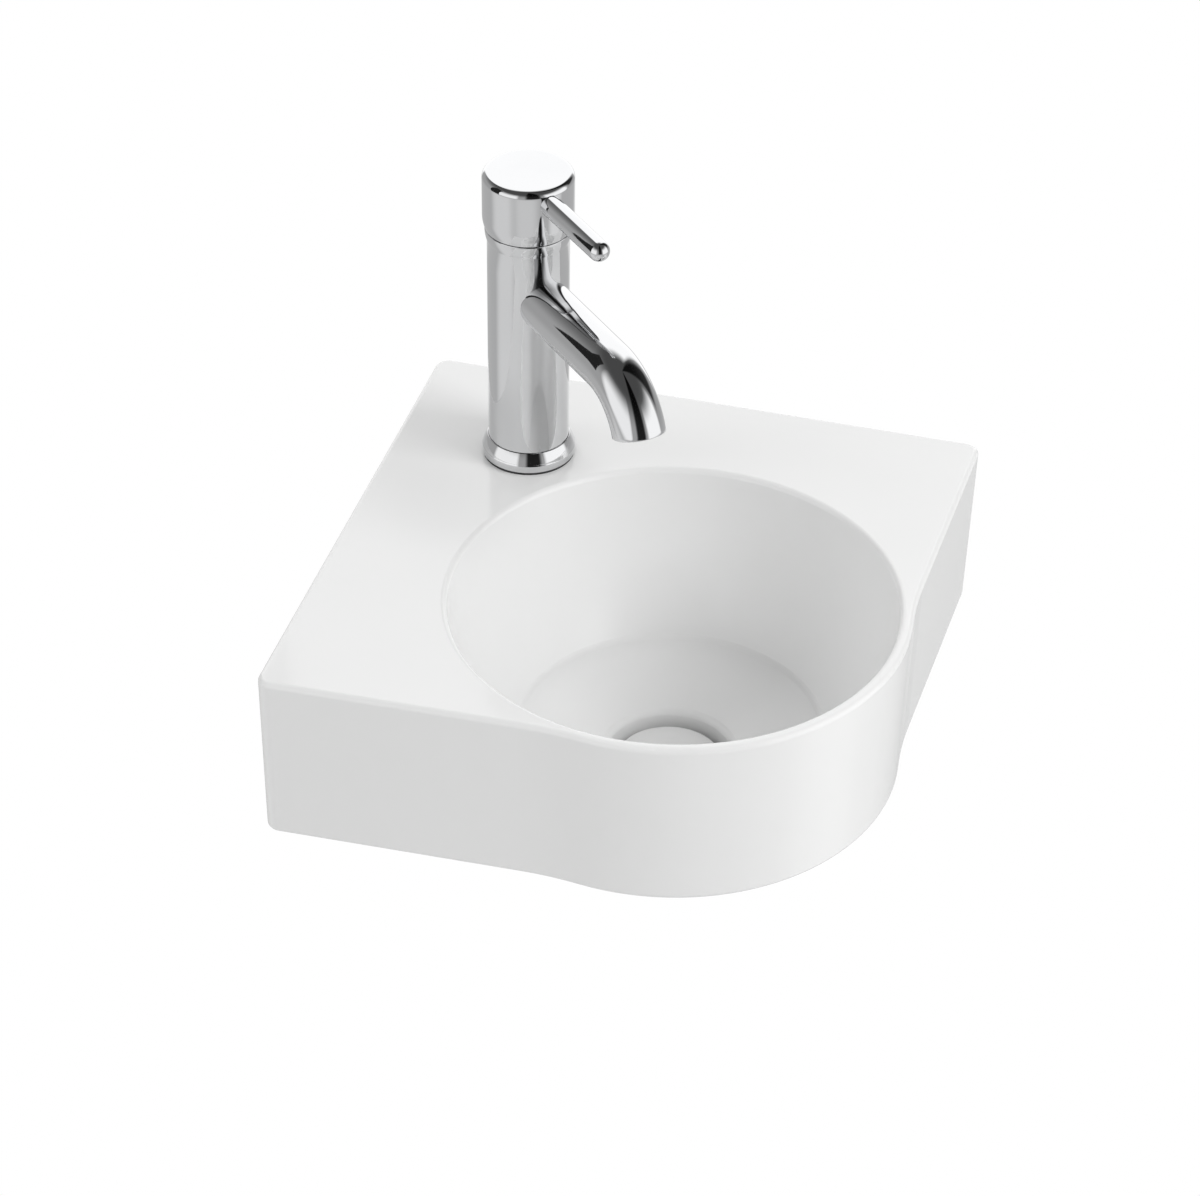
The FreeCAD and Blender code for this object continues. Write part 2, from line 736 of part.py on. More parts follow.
def cap_profile():
    """The cap's outer shape: a tube whose foot narrows in a full arc to the seam."""
    part_width, part_height = flare_middle()
    end = cap_bottom + seam_chamfer
    start = end + 0.5 * tap_flare_height
    high = Vector(cap_radius, 0, start)
    middle = Vector(cap_radius - part_width, 0, start - part_height)
    low = Vector(seam_radius, 0, end)
    edge = Vector(seam_radius - seam_chamfer, 0, cap_bottom)
    top = Vector(cap_radius, 0, cap_top)
    top_middle = Vector(0, 0, cap_top)
    wire = Part.Wire([Part.makeLine(top_middle, top),
                      Part.makeLine(top, high),
                      Part.Arc(high, middle, low).toShape(),
                      Part.makeLine(low, edge),
                      Part.makeLine(edge, Vector(0, 0, cap_bottom)),
                      Part.makeLine(Vector(0, 0, cap_bottom), top_middle)])
    return Part.Face(wire).revolve(ORIGIN, UP, 360)


def lever_cap():
    """The turning cap: hollow, cleared at the back so that it can tilt."""
    inner = cap_radius - cap_wall
    ceiling = cap_top - cap_roof
    shell = cap_profile().cut(cylinder(inner, cap_bottom - overrun, ceiling))
    shell = round_circle(shell, cap_radius, cap_top, cap_round)
    boss_level = tap_height + boss_start
    boss = cylinder(boss_radius, boss_level, ceiling + overrun, -stem_back)
    arms = forward_rod(arm_radius, -inner - overrun, inner + overrun, lever_level)
    body = shell.fuse(boss).fuse(arms).removeSplitter()
    half = 0.5 * stem_square + ease
    socket = Part.makeBox(2 * half, 2 * half, tap_height + stem_top + ease - boss_level + overrun,
                          Vector(-stem_back - half, -half, boss_level - overrun))
    body = body.cut(socket)
    body = body.cut(forward_rod(lever_spigot + fit, half - stem_back, cap_radius + overrun, lever_level))
    body = body.cut(forward_rod(grub_radius + fit, -cap_radius - overrun, -stem_back - half, lever_level))
    button_end = -cap_radius + button_length
    body = body.cut(forward_rod(button_radius + fit, -cap_radius - overrun, button_end, lever_level))
    width = 2 * cap_radius
    rise = width * math.tan(math.radians(tilt_range + relief_spare))
    start = Vector(-stem_back, -width, cap_bottom)
    high = Vector(-stem_back - width, -width, cap_bottom + rise)
    low = Vector(-stem_back - width, -width, cap_bottom - cap_wall)
    under = Vector(-stem_back, -width, cap_bottom - cap_wall)
    wedge = Part.Face(Part.makePolygon([start, high, low, under, start]))
    return at_tap(body.cut(wedge.extrude(Vector(0, 2 * width, 0))))


def lever_rod():
    """The pin lever: a tapered rod with a round tip and a threaded root."""
    root = cap_radius - lever_root_sink
    tip_start = lever_reach - lever_tip_radius
    point = Vector(lever_tip_radius, 0, tip_start)
    halfway = math.sqrt(0.5) * lever_tip_radius
    tip_middle = Vector(halfway, 0, tip_start + halfway)
    tip_end = Vector(0, 0, lever_reach)
    root_middle = Vector(0, 0, root)
    root_edge = Vector(lever_root_radius, 0, root)
    wire = Part.Wire([Part.makeLine(root_middle, root_edge),
                      Part.makeLine(root_edge, point),
                      Part.Arc(point, tip_middle, tip_end).toShape(),
                      Part.makeLine(tip_end, root_middle)])
    rod = lying(Part.Face(wire).revolve(ORIGIN, UP, 360))
    rod.translate(Vector(0, 0, lever_level))
    rod = rod.cut(cylinder(cap_radius + fit, tap_height, cap_top))
    spigot_start = 0.5 * stem_square - stem_back + lever_spigot_gap
    spigot = forward_rod(lever_spigot, spigot_start, cap_radius + overrun, lever_level)
    return at_tap(rod.fuse(spigot))


def grub_screw():
    """The screw that clamps the cap to the stem."""
    start = -stem_back - 0.5 * stem_square - ease
    screw = forward_rod(grub_radius, start - grub_length, start, lever_level)
    key = lying(hexagon(grub_key, start - grub_length - overrun, start - grub_length + grub_key_depth))
    key.translate(Vector(0, 0, lever_level))
    return at_tap(screw.cut(key))


def index_button():
    """The cover over the grub screw's hole."""
    body = forward_rod(button_radius, -cap_radius, -cap_radius + button_length - ease, lever_level)
    trim = cylinder(2 * cap_radius, lever_level - cap_radius, lever_level + cap_radius)
    face = cylinder(cap_radius, lever_level - cap_radius - overrun, lever_level + cap_radius + overrun)
    return at_tap(body.cut(trim.cut(face)))


def clamp_stud():
    """The threaded stud that pulls the tap down."""
    nut_level = -deck_thickness - clamp_rubber_thickness - clamp_plate_thickness - clamp_nut_height
    end = nut_level - clamp_stud_spare
    top = gasket_thickness + hose_recess_depth + clamp_stud_depth - clamp_stud_gap
    return at_tap(cylinder(clamp_stud_radius, end, top, clamp_stud_forward))


def horseshoe(radius, bottom, top):
    """A clamp washer with an open slot for the hoses and a hole for the stud."""
    slot = Part.makeBox(2 * radius, 2 * clamp_slot, top - bottom + 2 * overrun,
                        Vector(clamp_slot_start - 2 * radius, -clamp_slot, bottom - overrun))
    hole = cylinder(clamp_stud_radius + 3 * ease, bottom - overrun, top + overrun, clamp_stud_forward)
    return cylinder(radius, bottom, top).cut(slot).cut(hole)


def clamp_rubber():
    """The rubber washer under the deck."""
    return at_tap(horseshoe(clamp_radius, -deck_thickness - clamp_rubber_thickness, -deck_thickness))


def clamp_plate():
    """The steel washer under the rubber."""
    top = -deck_thickness - clamp_rubber_thickness
    return at_tap(horseshoe(clamp_radius - clamp_plate_inset, top - clamp_plate_thickness, top))


def clamp_nut():
    """The long nut on the stud."""
    top = -deck_thickness - clamp_rubber_thickness - clamp_plate_thickness
    nut = hexagon(clamp_nut_flats, top - clamp_nut_height, top)
    nut = nut.cut(cylinder(clamp_stud_radius + fit, top - clamp_nut_height - overrun, top + overrun))
    nut.translate(Vector(clamp_stud_forward, 0, 0))
    return at_tap(nut)


def waste_body():
    """Flange and threaded tail, with the spider that holds the click housing."""
    end = flange_level - tail_length
    shell = turned([
        (tail_bore, end), (tail_radius, end), (tail_radius, flange_level),
        (flange_radius, flange_level), (flange_radius, flange_top - flange_chamfer),
        (flange_radius - flange_chamfer, flange_top),
        (flange_cone, flange_top), (tail_bore, flange_top - flange_cone_drop)])
    top = flange_level - spider_drop
    bottom = top - spider_height
    hub_radius = click_radius + fit + spider_wall
    hub = ring(hub_radius, click_radius + fit, bottom, top)
    arms = []
    for number in range(3):
        arm = Part.makeBox(tail_bore - hub_radius + 2 * spider_overlap, spider_arm, spider_height,
                           Vector(hub_radius - spider_overlap, -0.5 * spider_arm, bottom))
        arm.rotate(ORIGIN, UP, 120 * number)
        arms.append(arm)
    return at_bowl(shell.fuse([hub] + arms).removeSplitter())


def flange_seal():
    """The thin ring between flange and ceramic."""
    outer = flange_radius - flange_seal_inset
    return at_bowl(ring(outer, outlet_radius + flange_seal_inset, seat_level, flange_level))


def lower_seal():
    """The cone-shaped rubber under the ceramic."""
    top = boss_level
    foot = top - lower_seal_height
    bore = tail_radius + ease
    return at_bowl(turned([(bore, foot), (lower_seal_radius - lower_seal_cone, foot),
                           (lower_seal_radius, top), (bore, top)]))


def slip_washer():
    """The plastic washer on which the backnut turns."""
    top = boss_level - lower_seal_height
    outer = lower_seal_radius - slip_washer_inset
    return at_bowl(ring(outer, tail_radius + 2 * ease, top - slip_washer_thickness, top))


def backnut():
    """The nut that draws the waste down, its corners rounded off at the foot."""
    top = boss_level - lower_seal_height - slip_washer_thickness
    foot = top - backnut_height
    inside = 0.5 * backnut_flats
    corners = inside + backnut_corner
    chamfer_top = foot + backnut_chamfer
    envelope = turned([(0, foot), (inside, foot), (corners, chamfer_top), (corners, top), (0, top)])
    nut = hexagon(backnut_flats, foot, top).common(envelope)
    return at_bowl(nut.cut(cylinder(tail_radius + fit, foot - overrun, top + overrun)))


def plug_cap():
    """The white domed plug, with a socket for its plunger."""
    edge_top = plug_level + plug_edge
    apex = edge_top + plug_dome
    side = Vector(plug_radius, 0, edge_top)
    foot = Vector(plug_radius - plug_draft, 0, plug_level)
    crown_radius = (plug_radius ** 2 + plug_dome ** 2) / (2 * plug_dome)
    half = 0.5 * math.asin(plug_radius / crown_radius)
    middle = Vector(crown_radius * math.sin(half), 0, apex - crown_radius * (1 - math.cos(half)))
    wire = Part.Wire([Part.makeLine(Vector(0, 0, plug_level), foot),
                      Part.makeLine(foot, side),
                      Part.Arc(side, middle, Vector(0, 0, apex)).toShape(),
                      Part.makeLine(Vector(0, 0, apex), Vector(0, 0, plug_level))])
    cap = Part.Face(wire).revolve(ORIGIN, UP, 360)
    cap = round_circle(cap, plug_radius, edge_top, 0.5 * plug_edge)
    socket = cylinder(plunger_radius + fit, plug_level - overrun, plug_level + plunger_socket)
    return at_bowl(cap.cut(socket))


def plug_seal():
    """The rubber ring under the plug."""
    return at_bowl(ring(plug_seal_outer, plug_seal_inner, plug_level - plug_seal_thickness, plug_level))


def click_housing():
    """The tube that holds the click action."""
    bottom = click_level - click_length
    body = cylinder(click_radius, bottom, click_level)
    guide_level = click_level - click_guide_wall
    body = body.cut(cylinder(click_bore, bottom + click_end_wall, guide_level))
    guide = cylinder(plunger_radius + 2 * fit, guide_level - overrun, click_level + overrun)
    return at_bowl(body.cut(guide))


def plunger():
    """The rod from the plug to its piston in the click housing."""
    piston_top = click_level - piston_sink
    bottom = piston_top - piston_height
    rod = cylinder(plunger_radius, bottom, plug_level + plunger_socket)
    return at_bowl(rod.fuse(cylinder(piston_radius, bottom, piston_top)).removeSplitter())


def click_spring():
    """The coil spring under the piston."""
    bottom = click_level - click_length + click_end_wall
    top = click_level - piston_sink - piston_height
    low = bottom + spring_wire
    pitch = (top - bottom - 2 * spring_wire) / spring_turns
    helix = Part.makeHelix(pitch, pitch * spring_turns, spring_radius)
    section = Part.Wire([Part.makeCircle(spring_wire, Vector(spring_radius, 0, 0), SIDEWAYS)])
    coil = Part.Wire(helix.Edges).makePipeShell([section], True, True)
    coil.translate(Vector(0, 0, low))
    return at_bowl(coil)


NODES = {
    "basin": basin,
    "tap_body": tap_body,
    "base_ring": base_ring,
    "base_gasket": base_gasket,
    "spout": spout,
    "aerator_housing": aerator_housing,
    "aerator_insert": aerator_insert,
    "aerator_seal": aerator_seal,
    "port_seals": port_seals,
    "cartridge_base": cartridge_base,
    "fixed_disc": fixed_disc,
    "moving_disc": moving_disc,
    "disc_carrier": disc_carrier,
    "cartridge_housing": cartridge_housing,
    "stem_guide": stem_guide,
    "stem_pin": stem_pin,
    "cartridge_stem": cartridge_stem,
    "cartridge_nut": cartridge_nut,
    "cover_ring": cover_ring,
    "lever_cap": lever_cap,
    "lever_rod": lever_rod,
    "grub_screw": grub_screw,
    "index_button": index_button,
    "clamp_stud": clamp_stud,
    "clamp_rubber": clamp_rubber,
    "clamp_plate": clamp_plate,
    "clamp_nut": clamp_nut,
    "waste_body": waste_body,
    "flange_seal": flange_seal,
    "lower_seal": lower_seal,
    "slip_washer": slip_washer,
    "backnut": backnut,
    "plug_cap": plug_cap,
    "plug_seal": plug_seal,
    "click_housing": click_housing,
    "plunger": plunger,
    "click_spring": click_spring,
}

os.makedirs("parts", exist_ok=True)
for name, make in NODES.items():
    shape = make()
    shape.exportStep("parts/" + name + ".step")
    box = shape.BoundBox
    print(f"{name:18s} solids {len(shape.Solids)} volume {shape.Volume / 1000:9.3f} cm3 valid {shape.isValid()}",
          f"x {box.XMin:7.1f} {box.XMax:7.1f} y {box.YMin:7.1f} {box.YMax:7.1f} z {box.ZMin:7.1f} {box.ZMax:7.1f}")
print(f"bowl axis {bowl_to_wall:.2f} and tap axis {tap_to_wall:.2f} from each wall")
print(f"fixing holes {fixing_along:.2f} along each wall")
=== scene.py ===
import bpy
import json
import math
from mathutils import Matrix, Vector


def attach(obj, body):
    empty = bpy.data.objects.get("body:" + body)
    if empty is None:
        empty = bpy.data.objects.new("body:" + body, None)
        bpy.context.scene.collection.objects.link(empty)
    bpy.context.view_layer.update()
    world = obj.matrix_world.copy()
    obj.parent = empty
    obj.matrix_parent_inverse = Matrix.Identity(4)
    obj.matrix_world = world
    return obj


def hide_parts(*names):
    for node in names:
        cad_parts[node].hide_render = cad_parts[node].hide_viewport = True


# Corner hand basin with a pin-lever mixer and a click waste. The frame is in
# metres, and the pieces' outlines are given in millimetres. Tap pieces are
# modelled on the tap's axis with its front along +X, and the plug on the
# bowl's axis, and each is then set in its place.

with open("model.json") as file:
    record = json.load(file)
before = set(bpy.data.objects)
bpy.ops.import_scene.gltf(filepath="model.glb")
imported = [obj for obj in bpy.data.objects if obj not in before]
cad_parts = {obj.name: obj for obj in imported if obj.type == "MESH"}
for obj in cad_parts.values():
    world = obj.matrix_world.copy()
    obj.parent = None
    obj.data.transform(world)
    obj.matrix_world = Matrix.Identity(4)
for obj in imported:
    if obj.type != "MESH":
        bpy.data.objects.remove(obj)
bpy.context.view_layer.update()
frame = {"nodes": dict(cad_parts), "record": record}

MM = 0.001
TAP_TO_WALL = 76.50
BOWL_TO_WALL = 189.99

BODY_RADIUS = 22.5
SEAM_RADIUS = 23.75
CAP_RADIUS = 25.0
BODY_FOOT = 1.5
BODY_TOP = 146.0
CAP_FOOT = 146.3
CAP_TOP = 180.0
STEM_BEHIND = 3.0

SPOUT_LEVEL = 106.5
SPOUT_STRAIGHT = 87.5
SPOUT_BEND = 36.0
OUTLET_TURN = math.radians(70.0)
OUTLET_FORWARD, OUTLET_LEVEL = 121.33, 82.813
SPOUT_RADIUS = 14.5
WATERWAY_RADIUS = 11.0

LEVER_LEVEL = 171.2
LEVER_REACH = 82.4
LEVER_ROOT = 6.0
LEVER_TIP = 5.8
THREAD_RADIUS = 3.0


# ---- shader maths ----

class Val:
    """A socket, or the number it stands for, with the usual arithmetic."""

    def __init__(self, shader, socket):
        self.shader = shader
        self.socket = socket

    def math(self, operation, *others):
        return self.shader.node("ShaderNodeMath", {"operation": operation}, [self, *others])

    def __add__(self, other):
        return self.math("ADD", other)

    def __radd__(self, other):
        return self.math("ADD", other)

    def __sub__(self, other):
        return self.math("SUBTRACT", other)

    def __rsub__(self, other):
        return self.shader.node("ShaderNodeMath", {"operation": "SUBTRACT"}, [other, self])

    def __mul__(self, other):
        return self.math("MULTIPLY", other)

    def __rmul__(self, other):
        return self.math("MULTIPLY", other)

    def __gt__(self, other):
        return self.math("GREATER_THAN", other)

    def __lt__(self, other):
        return self.math("LESS_THAN", other)

    def both(self, other):
        return self.math("MINIMUM", other)

    def either(self, other):
        return self.math("MAXIMUM", other)


class Shader:
    """The node tree of a material or of the world."""

    def __init__(self, owner):
        owner.use_nodes = True
        self.owner = owner
        self.tree = owner.node_tree

    def node(self, kind, settings=None, values=(), output=0):
        """A node with its settings made first, then its sockets' values or links."""
        made = self.tree.nodes.new(kind)
        for name, value in (settings or {}).items():
            setattr(made, name, value)
        pairs = values.items() if isinstance(values, dict) else enumerate(values)
        for place, value in pairs:
            self.feed(made.inputs[place], value)
        return Val(self, made.outputs[output])

    def feed(self, socket, value):
        if isinstance(value, Val):
            self.tree.links.new(value.socket, socket)
        else:
            socket.default_value = value

    def set(self, **values):
        """Values or links for the surface's own sockets."""
        for name, value in values.items():
            self.feed(self.surface().inputs[name.replace("_", " ")], value)

    def surface(self):
        return self.tree.nodes["Principled BSDF"]

    def link_surface(self, value):
        self.feed(self.tree.nodes["Material Output"].inputs[0], value)

    def place(self):
        """Where a point is on its piece, in metres."""
        return self.node("ShaderNodeTexCoord", output=3)

    def apart(self, place):
        """The three parts of a place."""
        cut = self.node("ShaderNodeSeparateXYZ", values=[place])
        outputs = cut.socket.node.outputs
        return [Val(self, outputs[number]) for number in range(3)]

    def across(self, one, other):
        """Length of a two-part distance."""
        return (one * one + other * other).math("POWER", 0.5)

    def noise(self, scale, detail, place):
        return self.node("ShaderNodeTexNoise",
                         values={"Vector": place, "Scale": scale, "Detail": detail, "Roughness": 0.5})

    def bump(self, height, strength, distance):
        return self.node("ShaderNodeBump",
                         values={"Height": height, "Strength": strength, "Distance": distance})

    def blend(self, factor, first, second):
        return self.node("ShaderNodeMix", {"data_type": "RGBA"}, {0: factor, 6: first, 7: second}, output=2)

    def ramp(self, value, start, end):
        """0 before the start, 1 past the end, and a soft rise between."""
        return self.node("ShaderNodeMapRange", {"interpolation_type": "SMOOTHSTEP"},
                         {"Value": value, "From Min": start, "From Max": end, "To Min": 0.0, "To Max": 1.0})

    def ray(self, *kinds):
        """1 for a ray of any of these kinds."""
        outputs = self.node("ShaderNodeLightPath").socket.node.outputs
        found = Val(self, outputs[kinds[0]])
        for kind in kinds[1:]:
            found = found.either(Val(self, outputs[kind]))
        return found


def new_material(name):
    return Shader(bpy.data.materials.new(name))


def colour(red, green, blue):
    return (red, green, blue, 1.0)


def grey(level):
    return colour(level, level, level)


# ---- materials ----

# the basin's own surfaces, in metres: where it was left unglazed is found from them
WALL_TOUCH = 0.0005
FACE_DISTANCE = 0.3198
FACE_ACROSS, FACE_OUT = 0.0344, 0.9994
SKIRT_WALL = 0.0055
BACK_WALL = 0.006
DECK_UNDERSIDE = -0.0118
FOOT_LEVELS = (-0.1030, -0.1016)
ROUND_FRONT = 0.1232
CLEAR_OF_BOWL = 0.11
BOWL_SHELL_AXIS, BOWL_SHELL_LEVEL, BOWL_SHELL = 0.0687, 0.02665, 0.196
FLOOR_FALL, FLOOR_UNDERSIDE = 0.2959, -0.1184
RECESS_RADIUS, RECESS_UNDERSIDE = 0.0385, -0.1215


def bare_china(shader, x, y, z):
    """1 on the wall faces, the foot and the hollow underneath, which are left unglazed."""
    bowl = BOWL_TO_WALL * MM
    from_bowl = shader.across(x - bowl, y + bowl)
    wall_face = (x < WALL_TOUCH).either(y > -WALL_TOUCH)
    foot = (z < FOOT_LEVELS[1]).both(z > FOOT_LEVELS[0]).both(from_bowl > CLEAR_OF_BOWL)

    left_depth = FACE_DISTANCE - (x * FACE_ACROSS - y * FACE_OUT)
    right_depth = FACE_DISTANCE - (x * FACE_OUT - y * FACE_ACROSS)
    behind_bowl = (x - y) < 2 * bowl
    within = (left_depth > SKIRT_WALL).both(right_depth > SKIRT_WALL)
    within = within.both(behind_bowl.either(from_bowl < ROUND_FRONT)).both(x > BACK_WALL).both(y < -BACK_WALL)

    outside_side = shader.across(from_bowl + BOWL_SHELL_AXIS, z - BOWL_SHELL_LEVEL) > BOWL_SHELL
    below_floor = z < from_bowl * FLOOR_FALL + FLOOR_UNDERSIDE
    outside_floor = below_floor.both(from_bowl > RECESS_RADIUS).either(z < RECESS_UNDERSIDE)
    hollow = within.both(z < DECK_UNDERSIDE).both(outside_side.either(outside_floor))
    return wall_face.either(foot).either(hollow)


def white_glaze():
    """Fired glaze over the china, and the bare china where a basin is left unglazed."""
    shader = new_material("white_glaze")
    place = shader.place()
    wave = shader.noise(7.0, 1.5, place)
    ripple = shader.noise(55.0, 2.0, place)
    depth = shader.noise(11.0, 4.0, place)
    grain = shader.noise(1400.0, 3.0, place)
    fired = shader.blend(depth, colour(0.795, 0.797, 0.795), colour(0.820, 0.821, 0.818))
    china = shader.blend(grain, colour(0.70, 0.68, 0.63), colour(0.80, 0.78, 0.73))
    bare = bare_china(shader, *shader.apart(place))
    height = (wave * 0.9 + ripple * 0.04) * (1 - bare) + grain * bare * 0.12
    shader.set(Base_Color=shader.blend(bare, fired, china), Roughness=bare * 0.52 + 0.2, IOR=1.52,
               Coat_Weight=(1 - bare) * 0.3, Coat_Roughness=0.06, Normal=shader.bump(height, 0.22, 0.002))
    return shader.owner


def chrome():
    """Bright plating: faint wiping marks, and a slow unevenness left by polishing."""
    shader = new_material("chrome")
    place = shader.place()
    smudge = shader.noise(38.0, 4.0, place)
    polish = shader.noise(26.0, 1.5, place)
    tint = shader.blend(smudge, colour(0.695, 0.70, 0.71), colour(0.735, 0.738, 0.745))
    shader.set(Base_Color=tint, Metallic=1.0, Roughness=smudge * 0.045 + 0.025,
               Normal=shader.bump(polish, 0.06, 0.0012))
    return shader.owner


def plain(name, tone, roughness, metallic, grain, grain_size):
    """A plain finish with a fine grain and a slow change of tone."""
    shader = new_material(name)
    place = shader.place()
    speck = shader.noise(grain_size, 3.0, place)
    patch = shader.noise(60.0, 2.0, place)
    darker = colour(*[0.86 * part for part in tone])
    mixed = speck * 0.5 + patch * 0.5
    shader.set(Base_Color=shader.blend(mixed, darker, colour(*tone)), Metallic=metallic,
               Roughness=mixed * 0.18 + roughness, Normal=shader.bump(speck, grain, 0.0004))
    return shader.owner


# tone, roughness, metal or not, depth and size of the grain
FINISHES = {
    "white_glaze": white_glaze(),
    "chrome": chrome(),
    "brass": plain("brass", (0.70, 0.52, 0.24), 0.26, 1.0, 0.3, 900.0),
    "zinc_steel": plain("zinc_steel", (0.60, 0.61, 0.63), 0.28, 1.0, 0.3, 1100.0),
    "white_nylon": plain("white_nylon", (0.80, 0.80, 0.76), 0.48, 0.0, 0.2, 1500.0),
    "grey_plastic": plain("grey_plastic", (0.42, 0.43, 0.45), 0.42, 0.0, 0.2, 1500.0),
    "disc_ceramic": plain("disc_ceramic", (0.82, 0.80, 0.75), 0.22, 0.0, 0.1, 2000.0),
    "black_rubber": plain("black_rubber", (0.03, 0.03, 0.032), 0.60, 0.0, 0.3, 1800.0),
}

for part in frame["record"]["subparts"]:
    for holder in frame["nodes"][part["node"]].material_slots:
        holder.material = FINISHES[part["material_slot"]]


# ---- modelling ----

def nothing_selected():
    bpy.ops.object.select_all(action="DESELECT")


def only(piece):
    """Make one piece the selected and active one."""
    nothing_selected()
    piece.select_set(True)
    bpy.context.view_layer.objects.active = piece


def start_outline(name, radius, level):
    """A piece that is one point, open for editing: the start of a turned outline."""
    nothing_selected()
    bpy.ops.mesh.primitive_plane_add(size=MM, location=(radius * MM, 0, level * MM))
    piece = bpy.context.object
    piece.name = name
    bpy.ops.object.transform_apply(location=True)
    bpy.ops.object.mode_set(mode="EDIT")
    bpy.ops.mesh.merge(type="CENTER")
    return piece


def pen(piece):
    """Where the outline has got to, as radius and level in millimetres."""
    piece.update_from_editmode()
    point = [corner.co for corner in piece.data.vertices if corner.select][0]
    return point.x / MM, point.z / MM


def line_to(piece, radius, level, steps=1):
    """Carry the outline straight on."""
    here = pen(piece)
    move = ((radius - here[0]) * MM / steps, 0, (level - here[1]) * MM / steps)
    for _ in range(steps):
        bpy.ops.mesh.extrude_region_move(TRANSFORM_OT_translate={"value": move})


def arc_to(piece, radius, level, sag, steps=8):
    """Carry the outline on in an arc that swells to its left by sag, or to its right if negative."""
    x, z = pen(piece)
    chord = math.hypot(radius - x, level - z)
    bend = (chord * chord / 4 + sag * sag) / (2 * abs(sag))
    side = math.copysign(1.0, sag)
    left = Vector((-(level - z), radius - x)) / chord
    middle = Vector(((x + radius) / 2, (z + level) / 2)) - left * side * (bend - abs(sag))
    turn = 2 * math.asin(chord / (2 * bend))
    bpy.ops.mesh.spin(steps=steps, angle=-side * turn, center=(middle.x * MM, 0, middle.y * MM), axis=(0, 1, 0))


def corner_to(piece, radius, level, after, size, steps=5):
    """Go to a corner that is rounded by size on the way to the point after it."""
    here = Vector(pen(piece))
    corner = Vector((radius, level))
    back = (here - corner).normalized()
    on = (Vector(after) - corner).normalized()
    half = 0.5 * back.angle(on)
    reach = size / math.tan(half)
    begin = corner + back * reach
    end = corner + on * reach
    line_to(piece, begin.x, begin.y)
    swell = size * (1 - math.sin(half))
    turning = back.x * on.y - back.y * on.x
    arc_to(piece, end.x, end.y, swell if turning > 0 else -swell, steps)


def turn_round(piece, steps=96):
    """Turn the finished outline once about the axis and close the skin."""
    bpy.ops.mesh.select_all(action="SELECT")
    bpy.ops.mesh.spin(steps=steps, angle=2 * math.pi, center=(0, 0, 0), axis=(0, 0, 1))
    close_skin()


def close_skin():
    bpy.ops.mesh.select_all(action="SELECT")
    bpy.ops.mesh.remove_doubles(threshold=0.005 * MM)
    bpy.ops.mesh.normals_make_consistent(inside=False)
    bpy.ops.object.mode_set(mode="OBJECT")


def named(name):
    """Name the piece just made and settle its place into its mesh."""
    piece = bpy.context.object
    piece.name = name
    bpy.ops.object.transform_apply(location=True, rotation=True, scale=True)
    return piece


def rod(name, radius, start, end, level, steps=64):
    """A level rod along +X, its ends capped, for joining to or cutting from a piece."""
    nothing_selected()
    bpy.ops.mesh.primitive_cylinder_add(
        vertices=steps, radius=radius * MM, depth=(end - start) * MM,
        location=((start + end) / 2 * MM, 0, level * MM), rotation=(0, math.radians(90), 0))
    return named(name)


def post(name, radius, bottom, top, forward=0.0, aside=0.0, steps=64):
    """An upright rod between two levels."""
    nothing_selected()
    bpy.ops.mesh.primitive_cylinder_add(
        vertices=steps, radius=radius * MM, depth=(top - bottom) * MM,
        location=(forward * MM, aside * MM, (bottom + top) / 2 * MM))
    return named(name)


def combine(piece, other, way):
    """Cut another shape from a piece, or join it to the piece, and drop the other."""
    only(piece)
    step = piece.modifiers.new(other.name, "BOOLEAN")
    step.operation = way
    step.solver = "EXACT"
    step.object = other
    bpy.ops.object.modifier_apply(modifier=step.name)
    bpy.data.objects.remove(other)


def cut(piece, *others):
    for other in others:
        combine(piece, other, "DIFFERENCE")


def join(piece, *others):
    for other in others:
        combine(piece, other, "UNION")


def soften_rim(piece, width):
    """Break the sharp rims as polishing does."""
    only(piece)
    step = piece.modifiers.new("rims", "BEVEL")
    step.width = width * MM
    step.segments = 3
    step.limit_method = "ANGLE"
    step.angle_limit = math.radians(60.0)
    step.use_clamp_overlap = True
    bpy.ops.object.modifier_apply(modifier=step.name)


def set_in_place(piece, node, body, finish, at_tap=True):
    """Set a piece at the tap or the bowl, and let it stand for its node."""
    only(piece)
    bpy.ops.object.shade_smooth_by_angle(angle=math.radians(32.0))
    if at_tap:
        piece.rotation_euler = (0, 0, math.radians(-45))
    to_wall = TAP_TO_WALL if at_tap else BOWL_TO_WALL
    piece.location = (to_wall * MM, -to_wall * MM, 0)
    bpy.ops.object.transform_apply(location=True, rotation=True, scale=True)
    piece.data.materials.clear()
    piece.data.materials.append(FINISHES[finish])
    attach(piece, body)
    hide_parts(node)


# ---- tap pieces and plug ----

